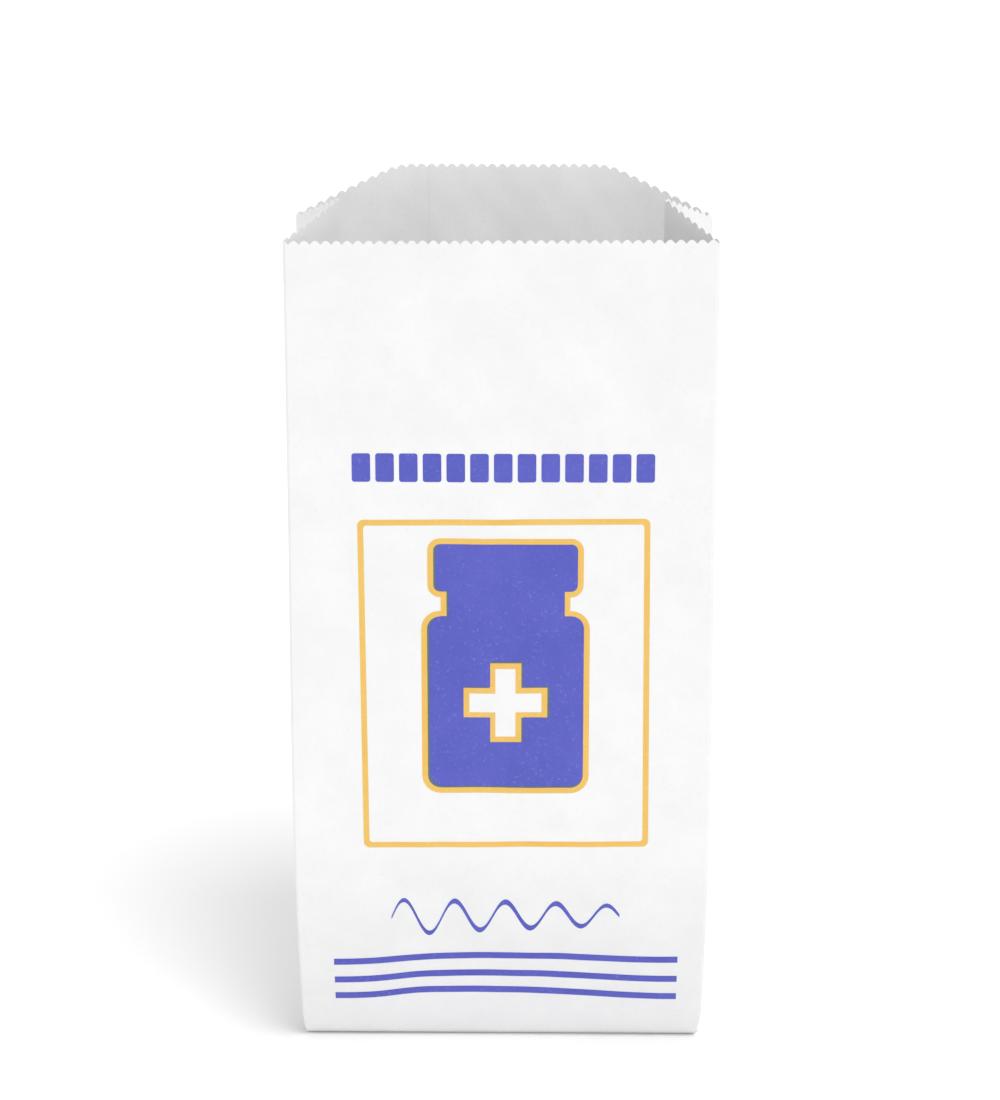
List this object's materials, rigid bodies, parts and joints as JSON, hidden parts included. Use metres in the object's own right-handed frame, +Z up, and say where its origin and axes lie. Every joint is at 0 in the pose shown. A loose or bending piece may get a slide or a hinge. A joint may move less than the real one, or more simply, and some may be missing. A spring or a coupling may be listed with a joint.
{
  "type": "paper bag",
  "caption": "Small white pharmacy paper bag with side gussets, a pinch bottom, a pinked top edge and a raised back lip; it folds flat and opens out to hold pill bottles.",
  "frame": {"origin": "on the floor, at the middle of the bag's width and midway between the front and back bottom creases", "axes": "+Z up, front faces -Y, +X to the right seen from the front"},
  "size_m": [0.129, 0.0437, 0.2802],
  "materials": {
    "paper": "machine-finished bleached kraft paper, matte",
    "adhesive": "dried starch paste",
    "blue_ink": "matte flexographic ink",
    "yellow_ink": "matte flexographic ink",
    "overprint_ink": "matte flexographic ink, blue over yellow"
  },
  "bodies": {
    "bottom": {"bottom_seam": "paper", "bottom_fold_flap": "paper", "bottom_glue": "adhesive"},
    "front_bottom": {"front_bottom_wedge": "paper", "front_left_corner_tuck": "paper", "front_right_corner_tuck": "paper", "print_flourish": "blue_ink", "print_stripe_top": "blue_ink", "print_stripe_middle": "blue_ink", "print_stripe_bottom": "blue_ink"},
    "front_left_corner": {"front_left_lower_gusset": "paper"},
    "front_right_corner": {"front_right_lower_gusset": "paper"},
    "front_wall": {"front_panel": "paper", "print_heading": "blue_ink", "print_frame": "yellow_ink", "print_bottle_outline": "yellow_ink", "print_bottle_fill": "blue_ink", "print_bottle_overprint": "overprint_ink"},
    "front_left_fold": {"front_left_gusset": "paper"},
    "front_right_fold": {"front_right_gusset": "paper"},
    "back_bottom": {"back_bottom_wedge": "paper", "back_left_corner_tuck": "paper", "back_right_corner_tuck": "paper"},
    "back_left_corner": {"back_left_lower_gusset": "paper"},
    "back_right_corner": {"back_right_lower_gusset": "paper"},
    "back_wall": {"back_panel_left": "paper", "back_panel_right": "paper", "back_seam_glue": "adhesive"},
    "back_left_fold": {"back_left_gusset": "paper"},
    "back_right_fold": {"back_right_gusset": "paper"}
  },
  "joints": [
    {"name": "front_bottom_crease", "type": "hinge", "parent": "bottom", "child": "front_bottom", "pos_m": [0, -0.001, 0.00173], "axis": [1, 0, 0], "range_deg": [-18.83, 1.81]},
    {"name": "front_wall_crease", "type": "hinge", "parent": "front_bottom", "child": "front_wall", "pos_m": [0, -0.02102, 0.06041], "axis": [1, 0, 0], "range_deg": [-1.81, 18.83]},
    {"name": "front_left_crease", "type": "hinge", "parent": "front_wall", "child": "front_left_fold", "pos_m": [-0.0641, -0.02102, 0.06041], "axis": [0, 0, 1], "range_deg": [-52, 5]},
    {"name": "front_right_crease", "type": "hinge", "parent": "front_wall", "child": "front_right_fold", "pos_m": [0.0641, -0.02102, 0.06041], "axis": [0, 0, -1], "range_deg": [-52, 5]},
    {"name": "front_left_diagonal", "type": "hinge", "parent": "front_bottom", "child": "front_left_corner", "pos_m": [-0.0387, -0.001, 0.00173], "axis": [-0.3791, -0.2987, 0.8758], "range_deg": [-56, 5.38]},
    {"name": "front_right_diagonal", "type": "hinge", "parent": "front_bottom", "child": "front_right_corner", "pos_m": [0.0387, -0.001, 0.00173], "axis": [-0.3791, 0.2987, -0.8758], "range_deg": [-56, 5.38]},
    {"name": "back_bottom_crease", "type": "hinge", "parent": "bottom", "child": "back_bottom", "pos_m": [0, 0.001, 0.00173], "axis": [-1, 0, 0], "range_deg": [-18.83, 1.81]},
    {"name": "back_wall_crease", "type": "hinge", "parent": "back_bottom", "child": "back_wall", "pos_m": [0, 0.02102, 0.06041], "axis": [-1, 0, 0], "range_deg": [-1.81, 18.83]},
    {"name": "back_left_crease", "type": "hinge", "parent": "back_wall", "child": "back_left_fold", "pos_m": [-0.0641, 0.02102, 0.06041], "axis": [0, 0, -1], "range_deg": [-52, 5]},
    {"name": "back_right_crease", "type": "hinge", "parent": "back_wall", "child": "back_right_fold", "pos_m": [0.0641, 0.02102, 0.06041], "axis": [0, 0, 1], "range_deg": [-52, 5]},
    {"name": "back_left_diagonal", "type": "hinge", "parent": "back_bottom", "child": "back_left_corner", "pos_m": [-0.0387, 0.001, 0.00173], "axis": [0.3791, -0.2987, -0.8758], "range_deg": [-56, 5.38]},
    {"name": "back_right_diagonal", "type": "hinge", "parent": "back_bottom", "child": "back_right_corner", "pos_m": [0.0387, 0.001, 0.00173], "axis": [0.3791, 0.2987, 0.8758], "range_deg": [-56, 5.38]}
  ],
  "couplings": [
    {"joint": "front_wall_crease", "follows": "front_bottom_crease", "ratio": -1},
    {"joint": "back_bottom_crease", "follows": "front_bottom_crease", "ratio": 1},
    {"joint": "back_wall_crease", "follows": "front_bottom_crease", "ratio": -1},
    {"joint": "front_left_crease", "follows": "front_bottom_crease", "ratio": 2.7609},
    {"joint": "front_left_diagonal", "follows": "front_bottom_crease", "ratio": 2.9733},
    {"joint": "front_right_crease", "follows": "front_bottom_crease", "ratio": 2.7609},
    {"joint": "front_right_diagonal", "follows": "front_bottom_crease", "ratio": 2.9733},
    {"joint": "back_left_crease", "follows": "front_bottom_crease", "ratio": 2.7609},
    {"joint": "back_left_diagonal", "follows": "front_bottom_crease", "ratio": 2.9733},
    {"joint": "back_right_crease", "follows": "front_bottom_crease", "ratio": 2.7609},
    {"joint": "back_right_diagonal", "follows": "front_bottom_crease", "ratio": 2.9733}
  ]
}
